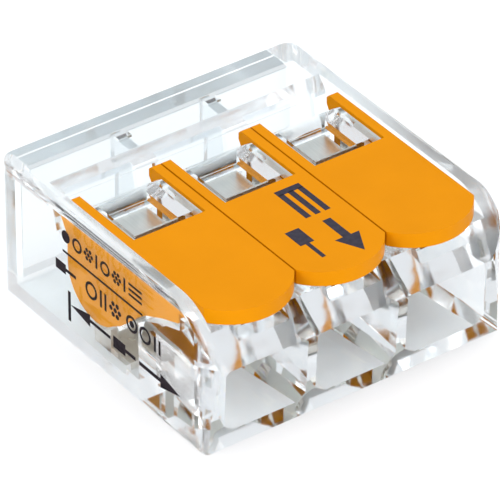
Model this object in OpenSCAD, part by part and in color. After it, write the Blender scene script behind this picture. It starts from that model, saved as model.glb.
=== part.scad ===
// Three-pole lever wire connector.
// X runs across the poles, the wires enter from -Y, +Z is up and the base rests on Z = 0.
// The origin is at the centre of the base. All lengths are in millimetres.
// Side profiles are drawn as (Y, Z) pairs and extruded along X.

/* [Housing] */
// Width across the three poles
body_w = 18.7; // [18.7:0.1:20]
// Depth from the wire entries to the rear face
body_d = 18.3; // [18.3:0.1:19.5]
// Height of the clear walls
body_h = 8.1; // [8.1:0.05:8.6]
// Distance between neighbouring poles
pole_pitch = 5.6; // [5.6:0.02:5.7]
// Thickness of the two clear side walls
side_wall = 0.9; // [0.8:0.05:0.9]
// Thickness of the floor
floor_t = 0.7; // [0.6:0.05:0.7]
// Thickness of the roof behind the levers
roof_t = 0.9; // [0.8:0.05:0.9]
// Radius of the four upright corners
corner_r = 1; // [0.6:0.1:1.1]
// Radius of the long edges along the base and the top
edge_r = 0.35; // [0.2:0.05:0.4]
// Radius of the curve where the front face meets the top
nose_r = 3.3; // [3:0.1:3.4]

/* [Wire entries] */
// Width of an entry at the front face
entry_w = 5.1; // [4.6:0.1:5.1]
// Height of an entry at the front face
entry_h = 3.85; // [3.6:0.05:3.85]
// Cut across the two lower corners of an entry at the front face
entry_cut = 0.6; // [0.5:0.05:0.7]
// Height of the wire's centre above the base
wire_z = 2.9; // [2.9:0.05:3]
// Radius of the round throat that guides the stripped wire
throat_r = 1.6; // [1.4:0.05:1.6]
// Depth of the tapering entry in front of the throat
entry_depth = 5.3; // [5:0.1:5.4]

/* [Levers] */
// Width of one lever
lever_w = 5.5; // [5.4:0.02:5.5]
// Thickness of the side plates and of the arms beside the window
cheek_t = 0.55; // [0.5:0.01:0.55]
// Thickness of the grip plate
grip_t = 0.85; // [0.75:0.05:0.9]
// Radius of the round part of each side plate
disc_r = 2.37; // [2.3:0.01:2.4]
// Opening angle of a lever
lever_open = 100; // [90:1:100]
// Angle through which a clamping leg is lifted meanwhile
leg_lift = 38; // [34:1:38]

/* [Metal parts] */
// Thickness of the spring strip
spring_t = 0.3; // [0.25:0.05:0.3]
// Width of the spring strip
spring_w = 2.9; // [2.6:0.1:2.9]
// Thickness of the current bar
bar_t = 0.45; // [0.4:0.05:0.45]
// Thickness of the upright ears of the current bar
ear_t = 0.4; // [0.35:0.05:0.4]
// Radius of the pivot stubs on the levers
stub_r = 0.45; // [0.4:0.01:0.45]

/* [Hidden] */
$fn = 48;
front_y = -body_d / 2;
rear_y = body_d / 2;
inside_x = body_w / 2 - side_wall;
poles = [-pole_pitch, 0, pole_pitch];
roof_z = body_h - roof_t;

// Levers: pivot point, grip and window
pivot_y = 1.1;
pivot_z = 4.7;
lever_top = body_h - 0.15;
shelf_z = lever_top - grip_t - 0.15;
window_y = -0.8;
tip_r = 3.3;
tip_y = front_y + 0.08;
arm_end_y = 4.15;
cheek_x = lever_w / 2 - cheek_t;
pocket_depth = 0.3;
bridge_gap = 0.1;

// Inner blocks stand between the side plates of each lever. The bridge in the lever's
// window is bounded by an arc about the pivot, so the grip's rear edge can pass over it.
block_x = cheek_x - 0.1;
block_front_y = -7;
bridge_r = 3.62;
bridge_top_z = 7.85;
bay_front_y = -2.45;
bay_top_z = 6.5;
trough_z = 5.75;

// Well in the bridge: upright walls below, a funnel for a test probe above
well_x = 1.53;
well_front_y = 0;
well_rear_y = 3.4;
funnel_z = 7;
funnel_flare = 0.44;

// Recess under the tip of each lever
recess_w = 3.1;
recess_d = 1.3;
recess_z = 6.2;

// Current bar
bar_z = floor_t + 0.05;
bar_top = bar_z + bar_t;
ear_x = 1.65;
ear_front_y = 0.05;
ear_rear_y = 2.2;
ear_top = 6.42;

// Spring: a bend at the front, a top leg above the ears and a clamping leg below
bend_y = -1.45;
bend_z = 5.45;
bend_r = 0.6;
top_leg_end_y = 3.3;
leg_rest = -50;
leg_start_angle = leg_rest - 90;
leg_y = bend_y + bend_r * cos(leg_start_angle);
leg_z = bend_z + bend_r * sin(leg_start_angle);
leg_len = 4.75;
follower_at = 1.7;
follower_r = 0.2;
follower_x = cheek_x + pocket_depth - 0.08;

// Rear cover
cover_x = 8.05;
cover_low = 1;
cover_high = 6.9;
cover_front_y = rear_y - 1.15;
cover_fit = 0.05;
web_front_y = 5.8;
web_t = 0.6;
web_top = roof_z - 0.1;
webs = [-pole_pitch / 2, pole_pitch / 2];

// Catches that hold the cover's webs in the roof
catch_front_y = 7.2;
catch_rear_y = 7.5;
catch_h = 0.2;
catch_gap = 0.1;

clear = [0.86, 0.91, 0.92, 0.35];
orange = [0.94, 0.6, 0.02];
tinned = [0.78, 0.77, 0.74];
steel = [0.7, 0.71, 0.73];

// ---- drawing helpers ----

// Extrudes a (Y, Z) profile from x0 to x1
module across(x0, x1) {
    translate([x0, 0, 0]) rotate([90, 0, 90]) linear_extrude(x1 - x0) children();
}

// The same profile on the +X and -X sides of a pole's middle plane
module both_sides(x0, x1) {
    across(x0, x1) children();
    across(-x1, -x0) children();
}

module at_pivot() {
    translate([pivot_y, pivot_z]) children();
}

module rounded_rect(w, h, r) {
    for (sx = [-1, 1], sy = [-1, 1])
        translate([sx * (w / 2 - r), sy * (h / 2 - r)]) circle(r);
    square([w - 2 * r, h], center = true);
    square([w, h - 2 * r], center = true);
}

// A round-ended bar from point a to point b in a profile
module bar_between(a, b, t) {
    length = norm(b - a);
    translate(a) rotate(atan2(b[1] - a[1], b[0] - a[0])) {
        translate([0, -t / 2]) square([length, t]);
        circle(t / 2);
        translate([length, 0]) circle(t / 2);
    }
}

// ---- housing ----

// Side outline: upright rear, rounded nose and a front face that leans back towards the base
module body_side() {
    nose_y = front_y + nose_r;
    nose_z = body_h - nose_r;
    translate([nose_y, nose_z]) intersection() {
        circle(nose_r);
        translate([-nose_r, 0]) square(nose_r + 0.01);
    }
    polygon([
        [front_y, nose_z], [front_y + 0.3, 0], [rear_y, 0], [rear_y, body_h],
        [nose_y, body_h], [nose_y, nose_z]
    ]);
}

module outer_body() {
    intersection() {
        across(-body_w / 2, body_w / 2) body_side();
        linear_extrude(body_h) rounded_rect(body_w, body_d, corner_r);
        translate([0, rear_y, body_h / 2]) rotate([90, 0, 0])
            linear_extrude(body_d) rounded_rect(body_w, body_h, edge_r);
    }
}

// Room for the grips on top, and behind the levers down to the floor
module shared_void() {
    polygon([
        [front_y - 1, shelf_z], [pivot_y, shelf_z], [pivot_y, 2.2], [1, 2.2], [1, floor_t],
        [cover_front_y, floor_t], [cover_front_y, roof_z], [5.1, roof_z], [5.15, roof_z + 0.25],
        [5.7, body_h], [6, body_h + 1], [front_y - 1, body_h + 1]
    ]);
    translate([-1.75, floor_t]) square([3, bar_t + 0.15]);
}

// Room for the side plates: a slot that follows their lower front edge and the round part
module cheek_void() {
    polygon([
        [-6.5, shelf_z + 0.1], [-6.45, 6.2], [-4.9, 5.7], [-3.5, 5.05], [-2.75, 4.5],
        [-1.95, 3.75], [-1.2, 3.1], [pivot_y, pivot_z], [pivot_y, shelf_z + 0.1]
    ]);
    at_pivot() circle(disc_r + 0.13);
}

// Clear plastic between the side plates of one lever: the block round the throat, the
// bridge in the lever's window and the trough that the grip's rear edge turns into
module block_solid() {
    bridge_front_y = -1.8;
    translate([block_front_y, 1]) square([window_y - block_front_y, shelf_z - 1]);
    difference() {
        polygon([
            [bridge_front_y, bay_top_z], [bridge_front_y, bridge_top_z], [5.6, bridge_top_z],
            [5.72, body_h - 0.01], [6.2, body_h - 0.01], [6.2, roof_z + 0.1],
            [5.9, roof_z + 0.1], [5.4, 5.2], [3.8, 5.2], [3.5, bay_top_z]
        ]);
        grip_path();
    }
}

// Everything the grip's rear edge sweeps on its way from the bridge into the trough
module grip_path() {
    difference() {
        polygon([
            [-2, shelf_z], [-2, body_h + 1], [5.72, body_h + 1], [5.72, body_h - 0.01],
            [5.2, 7.35], [4.9, trough_z], [4.4, trough_z]
        ]);
        at_pivot() circle(bridge_r, $fn = 96);
    }
}

// The bay for the spring and the ears, in the middle of one pole
module bay_void() {
    translate([bay_front_y, floor_t]) square([pivot_y - bay_front_y, bay_top_z - floor_t]);
    at_pivot() circle(bay_top_z - pivot_z);
}

// One tapering wire entry with cut corners, and the round throat behind it
module wire_entry() {
    inner_w = 2 * throat_r + 0.5;
    inner_h = inner_w - 0.35;
    inner_cut = 0.75;
    throat_y = front_y + entry_depth - 0.5;
    hull() {
        entry_slice(front_y - 0.2, entry_w, entry_h, entry_cut);
        entry_slice(front_y + entry_depth, inner_w, inner_h, inner_cut);
    }
    translate([0, throat_y, wire_z]) rotate([-90, 0, 0])
        cylinder(r = throat_r, h = bay_front_y + 0.2 - throat_y);
}

// Section of an entry: the lower corners are cut wide and low, the upper ones just broken
module entry_slice(y, w, h, cut) {
    low_z = 0.65 * cut - h / 2;
    top_cut = 0.2;
    translate([0, y, wire_z]) rotate([90, 0, 0]) linear_extrude(0.01)
        polygon([
            [-w / 2, low_z], [cut - w / 2, -h / 2], [w / 2 - cut, -h / 2], [w / 2, low_z],
            [w / 2, h / 2 - top_cut], [w / 2 - top_cut, h / 2],
            [top_cut - w / 2, h / 2], [-w / 2, h / 2 - top_cut]
        ]);
}

// Shallow recess in the nose under the tip of a lever
module tip_recess() {
    translate([-recess_w / 2, front_y - 1, recess_z]) cube([recess_w, recess_d + 1, 2]);
}

// Well in the bridge, open to the bay below
module probe_well() {
    well_d = well_rear_y - well_front_y;
    translate([0, (well_rear_y + well_front_y) / 2, 0]) {
        translate([0, 0, bay_top_z - 0.2])
            linear_extrude(funnel_z - bay_top_z + 0.2) square([2 * well_x, well_d], center = true);
        hull() {
            translate([0, 0, funnel_z - 0.01])
                linear_extrude(0.01) square([2 * well_x, well_d], center = true);
            translate([0, 0, body_h]) linear_extrude(0.01)
                square([2 * (well_x + funnel_flare), well_d + 2 * funnel_flare], center = true);
        }
    }
}

module housing() {
    color(clear) difference() {
        union() {
            difference() {
                outer_body();
                across(-inside_x, inside_x) {
                    shared_void();
                    cheek_void();
                }
            }
            for (x = poles) translate([x, 0, 0]) across(-block_x, block_x) block_solid();
        }
        for (x = poles) translate([x, 0, 0]) {
            across(-block_x, block_x) bay_void();
            wire_entry();
            tip_recess();
            probe_well();
        }
        // Seat of the rear cover
        translate([-cover_x - cover_fit, cover_front_y - 0.2, cover_low - cover_fit])
            cube([2 * (cover_x + cover_fit), 2, cover_high - cover_low + 2 * cover_fit]);
        // Pockets for the catches of the cover's two webs
        for (x = webs)
            translate([x - web_t / 2 - catch_gap, catch_front_y - catch_gap, web_top])
                cube([
                    web_t + 2 * catch_gap, catch_rear_y - catch_front_y + 2 * catch_gap,
                    roof_z - web_top + catch_h + catch_gap
                ]);
    }
}

// ---- rear cover ----

module rear_cover() {
    color(clear) {
        translate([-cover_x, cover_front_y, cover_low])
            cube([2 * cover_x, rear_y - 0.05 - cover_front_y, cover_high - cover_low]);
        for (x = webs) translate([x, 0, 0]) across(-web_t / 2, web_t / 2)
            polygon([
                [web_front_y, cover_low], [cover_front_y + 0.1, cover_low],
                [cover_front_y + 0.1, web_top], [catch_rear_y, web_top],
                [catch_rear_y, roof_z + catch_h], [catch_front_y, web_top], [web_front_y, web_top]
            ]);
    }
}

// ---- current bar ----

// Upright ear: pivot hole for the lever's stub and a slot that holds the spring
module bar_ear() {
    difference() {
        translate([ear_front_y, bar_z]) square([ear_rear_y - ear_front_y, ear_top - bar_z]);
        at_pivot() circle(stub_r + 0.05);
        translate([0.78, bend_z + bend_r - spring_t / 2 - 0.02])
            square([0.94, spring_t + 0.04]);
    }
}

module busbar() {
    bar_x = pole_pitch + ear_x + ear_t;
    color(tinned) {
        translate([-bar_x, -1.6, bar_z]) cube([2 * bar_x, 1.6 + ear_rear_y, bar_t]);
        for (x = poles) translate([x, 0, 0]) both_sides(ear_x, ear_x + ear_t) bar_ear();
    }
}

// ---- springs ----

// Fixed part of one spring: the bend and the top leg with its two side lugs
module spring() {
    seam_gap = 0.1;
    seam_angle = seam_gap / bend_r * 180 / PI + 15;
    color(steel) {
        across(-spring_w / 2, spring_w / 2) {
            translate([bend_y, bend_z]) difference() {
                circle(bend_r + spring_t / 2);
                circle(bend_r - spring_t / 2);
                translate([0, -2]) square([2, 4]);
                polygon([
                    [0, 0], [0, -2], [-2, -2],
                    2 * [cos(leg_start_angle - seam_angle), sin(leg_start_angle - seam_angle)]
                ]);
            }
            translate([bend_y, bend_z + bend_r - spring_t / 2])
                square([top_leg_end_y - bend_y, spring_t]);
        }
        translate([-ear_x - ear_t, 0.8, bend_z + bend_r - spring_t / 2])
            cube([2 * (ear_x + ear_t), 0.9, spring_t]);
    }
}

// Moving part of one spring: the leg that presses on the wire, with its two followers
module clamp_leg() {
    tip = [leg_y + leg_len * cos(leg_rest), leg_z + leg_len * sin(leg_rest)];
    follower = [leg_y + follower_at * cos(leg_rest), leg_z + follower_at * sin(leg_rest)];
    color(steel) {
        across(-spring_w / 2, spring_w / 2) bar_between([leg_y, leg_z], tip, spring_t);
        across(-follower_x, follower_x) translate(follower) circle(follower_r);
    }
}

// ---- levers ----

// Place of a follower, seen from a lever that is opened by the share s of its travel
function follower_path(s) =
    let (leg_a = leg_rest + s * leg_lift)
    let (dy = leg_y + follower_at * cos(leg_a) - pivot_y)
    let (dz = leg_z + follower_at * sin(leg_a) - pivot_z)
    let (turn = s * lever_open)
    [dy * cos(turn) - dz * sin(turn), dy * sin(turn) + dz * cos(turn)];

// Groove in the side plate that lifts the follower as the lever opens
module cam_groove() {
    steps = 12;
    path = [for (i = [0:steps]) follower_path(i / steps)];
    for (i = [1:steps]) bar_between(path[i - 1], path[i], 2 * (follower_r + 0.06));
}

// Side plate: arm beside the window, round part about the pivot and rib under the grip
module cheek_side() {
    at_pivot() circle(disc_r);
    polygon([
        [-6.3, lever_top - 0.1], [-6.2, 6.45], [-4.8, 5.95], [-3.4, 5.3], [-2.7, 4.8],
        [-1.95, 4.05], [-1.1, 3.3], [-0.4, 2.87], [pivot_y, pivot_z],
        [pivot_y + disc_r, pivot_z], [pivot_y + disc_r, 6.3], [3.85, 6.9],
        [arm_end_y, 7.35], [arm_end_y, lever_top - 0.2], [arm_end_y - 0.2, lever_top],
        [window_y, lever_top], [window_y, lever_top - 0.1]
    ]);
}

// Grip seen from above: straight sides and a round tip, up to the window's front edge
module grip_outline() {
    intersection() {
        union() {
            translate([0, tip_y + tip_r]) circle(tip_r, $fn = 96);
            translate([-lever_w / 2, tip_y + tip_r])
                square([lever_w, window_y - tip_y - tip_r]);
        }
        translate([-lever_w / 2, tip_y - 1]) square([lever_w, window_y - tip_y + 1]);
    }
}

module lever() {
    color(orange) difference() {
        union() {
            difference() {
                translate([0, 0, lever_top - grip_t]) linear_extrude(grip_t) grip_outline();
                across(-cheek_x, cheek_x) at_pivot() circle(bridge_r + bridge_gap, $fn = 96);
            }
            both_sides(cheek_x, lever_w / 2) cheek_side();
            both_sides(ear_x, cheek_x + 0.1) at_pivot() circle(stub_r);
        }
        both_sides(cheek_x - 0.1, cheek_x + pocket_depth) difference() {
            at_pivot() cam_groove();
            at_pivot() circle(stub_r);
        }
    }
}

module at_pole(i) {
    translate([poles[i - 1], 0, 0]) children();
}

housing();
rear_cover();
busbar();
at_pole(1) spring();  // spring_1
at_pole(2) spring();  // spring_2
at_pole(3) spring();  // spring_3
at_pole(1) clamp_leg();  // clamp_leg_1
at_pole(2) clamp_leg();  // clamp_leg_2
at_pole(3) clamp_leg();  // clamp_leg_3
at_pole(1) lever();  // lever_1
at_pole(2) lever();  // lever_2
at_pole(3) lever();  // lever_3
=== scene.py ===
"""Looks of the lever wire connector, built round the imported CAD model. Lengths are in metres."""
import math

import bmesh
import bpy
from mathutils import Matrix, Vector


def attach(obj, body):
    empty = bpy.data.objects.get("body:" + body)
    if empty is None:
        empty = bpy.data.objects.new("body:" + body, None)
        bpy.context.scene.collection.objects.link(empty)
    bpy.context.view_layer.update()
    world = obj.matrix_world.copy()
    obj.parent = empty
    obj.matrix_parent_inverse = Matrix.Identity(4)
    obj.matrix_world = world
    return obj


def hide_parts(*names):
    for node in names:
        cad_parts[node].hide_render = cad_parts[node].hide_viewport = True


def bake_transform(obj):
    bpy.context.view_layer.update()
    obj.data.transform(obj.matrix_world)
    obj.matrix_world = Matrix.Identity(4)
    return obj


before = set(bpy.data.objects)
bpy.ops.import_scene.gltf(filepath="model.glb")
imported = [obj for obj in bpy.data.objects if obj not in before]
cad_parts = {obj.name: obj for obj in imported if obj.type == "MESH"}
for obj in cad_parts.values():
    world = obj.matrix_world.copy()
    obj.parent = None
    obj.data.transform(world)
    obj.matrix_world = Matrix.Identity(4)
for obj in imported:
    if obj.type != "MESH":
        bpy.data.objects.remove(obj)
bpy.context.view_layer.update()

MM = 0.001
POLES = (1, 2, 3)

# Camera: the angle, distance and lens of the reference view
CAMERA_AZIMUTH = -35.85
CAMERA_ELEVATION = 35.13
CAMERA_DISTANCE = 312.5 * MM
CAMERA_LENS = 442.4
CAMERA_AIM = Vector((-0.13, -0.08, 3.78)) * MM

FLOOR_GAP = 0.02 * MM

# Poles and spring strips, in millimetres unless multiplied by MM; points are (Y, Z)
POLE_PITCH = 5.6
BEND = (-1.45, 5.45)
BEND_RADIUS = 0.6
STRIP_THICKNESS = 0.3
STRIP_HALF_WIDTH = 1.45
STRIP_ROUNDING = 0.03 * MM
LUG_HALF_WIDTH = 2.05
LUG_SPAN = (1.7, 0.8)
TOP_LEG_END = 3.3
LEG_ANGLE = -50
LEG_LENGTH = 4.75
FOLLOWER_AT = 1.7
FOLLOWER_RADIUS = 0.2
FOLLOWER_REACH = 2.42
FOLLOWER_OVERLAP = 0.02

# Marking ink in millimetres: film thickness, the gap under it, the surfaces it lies on and the
# heights of the two rows of pictograms on the side wall
INK_FILM = 0.006
INK_GAP = 0.001
WALL_X = -9.35
LEVER_TOP = 7.95
CONDUCTOR_ROW = 6.66
SYMBOL_ROW = 4.6

# Surface film that keeps the clear plastic from mirroring the white floor; thickness in nanometres
FILM_THICKNESS = 130
FILM_IOR = 1.23
# Share of direct light that gets through one surface of the clear plastic
LIGHT_PASS = (0.86, 0.88, 0.89, 1)

# The springs' edges are rounded where their faces turn by more than this
SHARP_EDGE = math.radians(32)


# ---- node helpers ----

def new_material(name):
    """An empty material with its Principled shader and output."""
    material = bpy.data.materials.new(name)
    material.use_nodes = True
    tree = material.node_tree
    return material, tree, tree.nodes["Principled BSDF"]


def noise(tree, scale, detail=3.0, roughness=0.5, stretch=(1, 1, 1)):
    """Noise in object coordinates; scale is in features per metre."""
    coords = tree.nodes.new("ShaderNodeTexCoord")
    mapping = tree.nodes.new("ShaderNodeMapping")
    mapping.inputs["Scale"].default_value = stretch
    texture = tree.nodes.new("ShaderNodeTexNoise")
    texture.inputs["Scale"].default_value = scale
    texture.inputs["Detail"].default_value = detail
    texture.inputs["Roughness"].default_value = roughness
    tree.links.new(coords.outputs["Object"], mapping.inputs["Vector"])
    tree.links.new(mapping.outputs["Vector"], texture.inputs["Vector"])
    return texture.outputs["Fac"]


def colour_between(tree, factor, dark, light):
    """A ramp between two linear colours."""
    ramp = tree.nodes.new("ShaderNodeValToRGB")
    ramp.color_ramp.elements[0].position = 0.3
    ramp.color_ramp.elements[1].position = 0.7
    ramp.color_ramp.elements[0].color = (*dark, 1)
    ramp.color_ramp.elements[1].color = (*light, 1)
    tree.links.new(factor, ramp.inputs["Fac"])
    return ramp.outputs["Color"]


def value_between(tree, factor, low, high):
    """A value that runs from low to high with the factor."""
    remap = tree.nodes.new("ShaderNodeMapRange")
    remap.inputs["From Min"].default_value = 0.3
    remap.inputs["From Max"].default_value = 0.7
    remap.inputs["To Min"].default_value = low
    remap.inputs["To Max"].default_value = high
    tree.links.new(factor, remap.inputs["Value"])
    return remap.outputs["Result"]


def bump(tree, shader, height, depth, strength=1.0):
    """Surface relief of the given depth."""
    node = tree.nodes.new("ShaderNodeBump")
    node.inputs["Distance"].default_value = depth
    node.inputs["Strength"].default_value = strength
    tree.links.new(height, node.inputs["Height"])
    tree.links.new(node.outputs["Normal"], shader.inputs["Normal"])


# ---- materials ----

def clear_plastic(name, tint):
    """Polished clear polycarbonate with faint flow lines; light passes through it to what is behind."""
    material, tree, shader = new_material(name)
    shader.inputs["Transmission Weight"].default_value = 1.0
    shader.inputs["IOR"].default_value = 1.5
    shader.inputs["Thin Film Thickness"].default_value = FILM_THICKNESS
    shader.inputs["Thin Film IOR"].default_value = FILM_IOR
    pale = tuple(0.985 * t for t in tint)
    tree.links.new(colour_between(tree, noise(tree, 260), pale, tint), shader.inputs["Base Color"])
    tree.links.new(value_between(tree, noise(tree, 900, 4), 0.03, 0.09), shader.inputs["Roughness"])
    bump(tree, shader, noise(tree, 420, 2, 0.4, (0.5, 1, 1)), 0.02 * MM, 0.35)

    open_air = tree.nodes.new("ShaderNodeBsdfTransparent")
    open_air.inputs["Color"].default_value = LIGHT_PASS
    light_path = tree.nodes.new("ShaderNodeLightPath")
    mix = tree.nodes.new("ShaderNodeMixShader")
    tree.links.new(light_path.outputs["Is Shadow Ray"], mix.inputs["Fac"])
    tree.links.new(shader.outputs["BSDF"], mix.inputs[1])
    tree.links.new(open_air.outputs["BSDF"], mix.inputs[2])
    tree.links.new(mix.outputs["Shader"], tree.nodes["Material Output"].inputs["Surface"])
    return material


def lever_plastic():
    """Orange moulded plastic with a fine eroded-mould texture."""
    material, tree, shader = new_material("lever_orange")
    colour = colour_between(tree, noise(tree, 350, 4), (0.64, 0.228, 0.0002), (0.675, 0.243, 0.0005))
    tree.links.new(colour, shader.inputs["Base Color"])
    tree.links.new(value_between(tree, noise(tree, 2500, 3), 0.28, 0.4), shader.inputs["Roughness"])
    bump(tree, shader, noise(tree, 9000, 4, 0.6), 0.004 * MM, 0.35)
    shader.inputs["IOR"].default_value = 1.5
    shader.inputs["Specular IOR Level"].default_value = 0.04
    return material


def tinned_copper():
    """Tin-plated copper: soft grey metal with slightly uneven plating."""
    material, tree, shader = new_material("tinned_copper")
    shader.inputs["Metallic"].default_value = 1.0
    colour = colour_between(tree, noise(tree, 600, 5), (0.58, 0.56, 0.52), (0.72, 0.71, 0.68))
    tree.links.new(colour, shader.inputs["Base Color"])
    tree.links.new(value_between(tree, noise(tree, 1500, 4), 0.25, 0.42), shader.inputs["Roughness"])
    bump(tree, shader, noise(tree, 3000, 4), 0.006 * MM, 0.5)
    return material


def spring_steel():
    """Rolled stainless strip with fine lines along the strip."""
    material, tree, shader = new_material("spring_steel")
    shader.inputs["Metallic"].default_value = 1.0
    lines = noise(tree, 3000, 4, 0.6, (5, 0.3, 0.3))
    colour = colour_between(tree, lines, (0.64, 0.66, 0.635), (0.72, 0.74, 0.715))
    tree.links.new(colour, shader.inputs["Base Color"])
    tree.links.new(value_between(tree, lines, 0.28, 0.36), shader.inputs["Roughness"])
    bump(tree, shader, lines, 0.002 * MM, 0.3)
    return material


def marking_ink(name, dark, light):
    """Dull marking ink, a little uneven."""
    material, tree, shader = new_material(name)
    colour = colour_between(tree, noise(tree, 4000, 4), dark, light)
    tree.links.new(colour, shader.inputs["Base Color"])
    tree.links.new(value_between(tree, noise(tree, 5000, 3), 0.55, 0.75), shader.inputs["Roughness"])
    shader.inputs["Specular IOR Level"].default_value = 0.05
    return material


def floor_white():
    """Matt white backdrop."""
    material, tree, shader = new_material("floor_white")
    colour = colour_between(tree, noise(tree, 12), (0.94, 0.94, 0.94), (0.95, 0.95, 0.95))
    tree.links.new(colour, shader.inputs["Base Color"])
    shader.inputs["Roughness"].default_value = 0.9
    return material


# ---- CAD nodes that keep their shape ----

def dress(node, material):
    """Gives a CAD node its material and leaves its shape as the CAD has it. The mesh's faces don't
    share vertices at their edges, so a bevel alone has nothing to act on."""
    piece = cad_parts[node]
    piece.data.materials.clear()
    piece.data.materials.append(material)


# ---- spring strips ----

def new_piece(name, bm, material):
    """A mesh object made from bm, with outward faces."""
    bmesh.ops.recalc_face_normals(bm, faces=bm.faces)
    mesh = bpy.data.meshes.new(name)
    bm.to_mesh(mesh)
    bm.free()
    piece = bpy.data.objects.new(name, mesh)
    piece.data.materials.append(material)
    bpy.context.collection.objects.link(piece)
    return piece


def round_edges(piece, width):
    """Rounds a piece's sharp edges."""
    rounding = piece.modifiers.new("edges", "BEVEL")
    rounding.width = width
    rounding.segments = 2
    rounding.limit_method = "ANGLE"
    rounding.angle_limit = SHARP_EDGE


def heading(angle):
    """Unit vector at an angle in degrees."""
    return math.cos(math.radians(angle)), math.sin(math.radians(angle))


def strip_sections():
    """Sections along the strip: centre (Y, Z), direction of travel in degrees and half width."""
    top = BEND[1] + BEND_RADIUS
    stops = [(TOP_LEG_END, STRIP_HALF_WIDTH)]
    stops += [(LUG_SPAN[0], STRIP_HALF_WIDTH), (LUG_SPAN[0], LUG_HALF_WIDTH)]
    stops += [(LUG_SPAN[1], LUG_HALF_WIDTH), (LUG_SPAN[1], STRIP_HALF_WIDTH)]
    sections = [((y, top), 180, half) for y, half in stops]
    bend_end = 270 + LEG_ANGLE
    steps = 20
    for i in range(steps + 1):
        turn = 90 + (bend_end - 90) * i / steps
        y, z = heading(turn)
        centre = (BEND[0] + BEND_RADIUS * y, BEND[1] + BEND_RADIUS * z)
        sections.append((centre, turn + 90, STRIP_HALF_WIDTH))
    (start_y, start_z), _, _ = sections[-1]
    y, z = heading(LEG_ANGLE)
    for along in (0.15, 0.3, 0.45, 0.6, 0.8, 1, 2, 3, 4, LEG_LENGTH):
        sections.append(((start_y + along * y, start_z + along * z), LEG_ANGLE, STRIP_HALF_WIDTH))
    return sections, (start_y, start_z)


def add_strip(bm, x, sections):
    """A closed strip through the sections, centred on x."""
    rings = []
    for (y, z), angle, half in sections:
        across_y, across_z = heading(angle + 90)
        t = STRIP_THICKNESS / 2
        corners = [(-half, t), (half, t), (half, -t), (-half, -t)]
        rings.append([
            bm.verts.new(Vector((x + dx, y + d * across_y, z + d * across_z)) * MM) for dx, d in corners
        ])
    for a, b in zip(rings, rings[1:]):
        for i in range(4):
            j = (i + 1) % 4
            bm.faces.new((a[i], a[j], b[j], b[i]))
    bm.faces.new(rings[0])
    bm.faces.new(reversed(rings[-1]))


def add_pin(bm, x0, x1, centre, radius, count=20):
    """A round pin along X."""
    ends = []
    for x in (x0, x1):
        ring = []
        for i in range(count):
            y, z = heading(360 * i / count)
            ring.append(bm.verts.new(Vector((x, centre[0] + radius * y, centre[1] + radius * z)) * MM))
        ends.append(ring)
    for i in range(count):
        j = (i + 1) % count
        bm.faces.new((ends[0][i], ends[0][j], ends[1][j], ends[1][i]))
    bm.faces.new(ends[0])
    bm.faces.new(reversed(ends[1]))


def spring_strip(pole):
    """One spring in one piece: top leg with lugs, bend, and the clamping leg with its followers."""
    x = (pole - 2) * POLE_PITCH
    sections, (start_y, start_z) = strip_sections()
    bm = bmesh.new()
    add_strip(bm, x, sections)
    y, z = heading(LEG_ANGLE)
    follower = (start_y + FOLLOWER_AT * y, start_z + FOLLOWER_AT * z)
    for side in (-1, 1):
        inner = x + side * (STRIP_HALF_WIDTH - FOLLOWER_OVERLAP)
        outer = x + side * FOLLOWER_REACH
        add_pin(bm, inner, outer, follower, FOLLOWER_RADIUS)
    piece = new_piece(f"spring_strip_{pole}", bm, STEEL)
    round_edges(piece, STRIP_ROUNDING)
    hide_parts(f"spring_{pole}", f"clamp_leg_{pole}")
    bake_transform(piece)


# ---- markings: plain pictograms as flat outlines, in millimetres ----

def bar(u0, v0, u1, v1, width):
    """A straight line of the given width."""
    du = u1 - u0
    dv = v1 - v0
    k = width / 2 / math.hypot(du, dv)
    return [
        (u0 - k * dv, v0 + k * du),
        (u0 + k * dv, v0 - k * du),
        (u1 + k * dv, v1 - k * du),
        (u1 - k * dv, v1 + k * du),
    ]


def on_circle(u, v, radius, angle):
    """The point of a circle round (u, v) at an angle in degrees."""
    across, up = heading(angle)
    return u + radius * across, v + radius * up


def disc(u, v, radius, count=24):
    """A filled circle."""
    return [on_circle(u, v, radius, 360 * i / count) for i in range(count)]


def ring(u, v, radius, width):
    """A ring as two half rings."""
    halves = []
    for first in (0, 180):
        outer = [on_circle(u, v, radius, first + a) for a in range(0, 181, 15)]
        inner = [on_circle(u, v, radius - width, first + a) for a in range(180, -1, -15)]
        halves.append(outer + inner)
    return halves


def arrow(u0, u1, v, line, head_length, head_width):
    """An arrow along u from u0 with its tip at u1."""
    way = math.copysign(1, u1 - u0)
    neck = u1 - way * head_length
    return [bar(u0, v, neck, v, line), [(u1, v), (neck, v + head_width / 2), (neck, v - head_width / 2)]]


def strands(u, v, radius, dot):
    """A stranded conductor's end: one dot in the middle and six round it."""
    around = [on_circle(u, v, radius, 60 * i) for i in range(6)]
    return [disc(a, b, dot, 12) for a, b in [(u, v), *around]]


def wall_outlines():
    """Side wall, u = Y towards the rear and v = Z: strip gauge, conductor kinds and plain symbols."""
    shapes = [bar(2.73, 1.6, 2.73, 3.43, 0.24)]
    shapes += arrow(-0.9, 2.6, 2.66, 0.2, 1.7, 0.75)
    shapes += arrow(-3.4, -6.95, 2.6, 0.24, 1.7, 0.85)
    shapes += [bar(-1.15, 2.62, -2.2, 2.62, 0.7), bar(-2.2, 2.62, -3.1, 2.62, 0.22)]
    shapes += [bar(3.25, 5.69, -3.75, 5.71, 0.14)]
    return shapes + conductor_row() + symbol_row()


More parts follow.
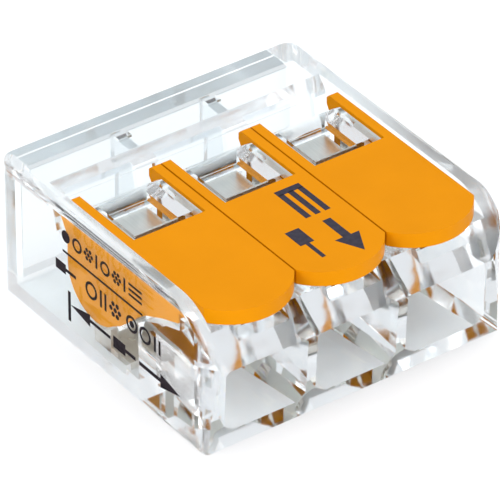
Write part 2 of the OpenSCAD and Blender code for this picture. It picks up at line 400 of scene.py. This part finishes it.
def conductor_row():
    """Kinds of conductor: solid, tubular and stranded, then stacked wires."""
    v = CONDUCTOR_ROW
    shapes = [disc(2.95, v, 0.36)]
    shapes += ring(1.95, v, 0.42, 0.15)
    shapes += strands(0.95, v, 0.29, 0.125)
    shapes += [bar(0.25, v - 0.42, 0.25, v + 0.42, 0.16)]
    shapes += ring(-0.5, v, 0.42, 0.15)
    shapes += strands(-1.5, v, 0.29, 0.125)
    shapes += [bar(-2.2, v - 0.42, -2.2, v + 0.42, 0.16)]
    shapes += [bar(-2.55, v + d, -3.7, v + d, 0.14) for d in (-0.32, 0, 0.32)]
    return shapes


def symbol_row():
    """A bared wire, rings, strokes and a stranded end."""
    v = SYMBOL_ROW
    shapes = [bar(3.9, v, 3.0, v, 0.6), bar(3.0, v, 2.1, v, 0.2)]
    shapes += ring(0.75, v, 0.52, 0.17)
    shapes += [bar(-0.1, v - 0.52, -0.1, v + 0.52, 0.17), bar(-0.5, v - 0.52, -0.5, v + 0.52, 0.17)]
    shapes += strands(-1.35, v, 0.37, 0.15)
    shapes += ring(-2.8, v, 0.5, 0.16)
    shapes += [disc(-2.8, v, 0.2, 16)]
    shapes += ring(-3.95, v - 0.03, 0.5, 0.16)
    shapes += [bar(-4.8, v - 0.52, -4.8, v + 0.42, 0.17), bar(-5.2, v - 0.52, -5.2, v + 0.36, 0.17)]
    return shapes


def lever_outlines():
    """Grip of the middle lever, u = X and v = Y: wires side by side, a lift arrow and a bared wire."""
    shapes = [bar(0.28, -1.75, 1.82, -1.75, 0.42)]
    shapes += [bar(x, -1.9, x, -4.3, 0.34) for x in (0.45, 1.05, 1.65)]
    shapes += [bar(1.05, -4.95, 1.05, -6.7, 0.5), [(1.05, -8.2), (0.3, -6.7), (1.8, -6.7)]]
    shapes += [bar(-0.95, -4.75, -0.95, -6.1, 0.85), bar(-0.95, -6.1, -0.95, -7.5, 0.24)]
    return shapes


def marking(name, outlines, place, ink, body):
    """A film of ink: place(u, v, w) puts a point of an outline, w into the film, on the surface."""
    bm = bmesh.new()
    for outline in outlines:
        low = [bm.verts.new(Vector(place(u, v, 0)) * MM) for u, v in outline]
        high = [bm.verts.new(Vector(place(u, v, INK_FILM)) * MM) for u, v in outline]
        bm.faces.new(low)
        bm.faces.new(reversed(high))
        for i in range(len(outline)):
            j = (i + 1) % len(outline)
            bm.faces.new((low[i], low[j], high[j], high[i]))
    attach(new_piece(name, bm, ink), body)


def on_wall(u, v, w):
    """Outline point to object millimetres, on the left side wall."""
    return WALL_X - INK_GAP - w, u, v


def on_lever(u, v, w):
    """Outline point to object millimetres, on the top of the closed middle lever."""
    return u, v, LEVER_TOP + INK_GAP + w


# ---- camera, lights and floor ----

def camera_back(azimuth, elevation):
    """Unit vector from the object towards the camera."""
    a, e = math.radians(azimuth), math.radians(elevation)
    return Vector((math.sin(a) * math.cos(e), -math.cos(a) * math.cos(e), math.sin(e)))


def make_camera():
    """Camera at the reference view."""
    data = bpy.data.cameras.new("view_camera")
    data.lens = CAMERA_LENS
    data.clip_start = 0.01
    data.clip_end = 10
    camera = bpy.data.objects.new("view_camera", data)
    bpy.context.collection.objects.link(camera)
    back = camera_back(CAMERA_AZIMUTH, CAMERA_ELEVATION)
    camera.location = CAMERA_AIM + back * CAMERA_DISTANCE
    camera.rotation_mode = "QUATERNION"
    camera.rotation_quaternion = (-back).to_track_quat("-Z", "Y")
    bpy.context.scene.camera = camera


def soft_light(name, azimuth, elevation, distance, size, power):
    """A square area light that faces the object."""
    data = bpy.data.lights.new(name, "AREA")
    data.size = size
    data.energy = power
    light = bpy.data.objects.new(name, data)
    bpy.context.collection.objects.link(light)
    back = camera_back(azimuth, elevation)
    light.location = back * distance
    light.rotation_mode = "QUATERNION"
    light.rotation_quaternion = (-back).to_track_quat("-Z", "Y")


def make_studio():
    """Pale world, three soft lights and the floor."""
    world = bpy.data.worlds.new("studio")
    bpy.context.scene.world = world
    world.use_nodes = True
    world.node_tree.nodes["Background"].inputs["Color"].default_value = (0.95, 0.97, 1, 1)
    world.node_tree.nodes["Background"].inputs["Strength"].default_value = 0.88

    soft_light("overhead", 0, 88, 0.25, 0.22, 0.22)
    soft_light("left_box", -75, 25, 0.3, 0.15, 0.35)
    soft_light("front_box", 10, 20, 0.3, 0.15, 0.2)

    bpy.ops.mesh.primitive_plane_add(size=4, location=(0, 0, -FLOOR_GAP))
    floor = bpy.context.object
    floor.name = "floor"
    floor.data.materials.append(floor_white())


CLEAR = clear_plastic("clear_shell", (0.97, 0.985, 0.988))
# The rear cover is the same clear plastic as the shell. Its darker tint is partly painted shade that
# greys the rear end, where the shaded floor under the connector shows through, and partly stands in for
# its thicker plastic.
COVER_PAINTED_SHADE = clear_plastic("clear_cover_painted_shade", (0.905, 0.928, 0.936))
ORANGE = lever_plastic()
TIN = tinned_copper()
STEEL = spring_steel()
WALL_INK = marking_ink("wall_ink", (0.01, 0.007, 0.01), (0.025, 0.018, 0.022))
LEVER_INK = marking_ink("lever_ink", (0.035, 0.032, 0.045), (0.05, 0.046, 0.062))

dress("housing", CLEAR)
dress("rear_cover", COVER_PAINTED_SHADE)
dress("busbar", TIN)
for pole in POLES:
    dress(f"lever_{pole}", ORANGE)
    spring_strip(pole)
marking("wall_marking", wall_outlines(), on_wall, WALL_INK, "body")
marking("lever_marking", lever_outlines(), on_lever, LEVER_INK, "lever_2")

make_camera()
make_studio()
scene = bpy.context.scene
scene.view_settings.view_transform = "Standard"
scene.cycles.max_bounces = 32
scene.cycles.transmission_bounces = 32
scene.cycles.glossy_bounces = 32
scene.cycles.transparent_max_bounces = 32
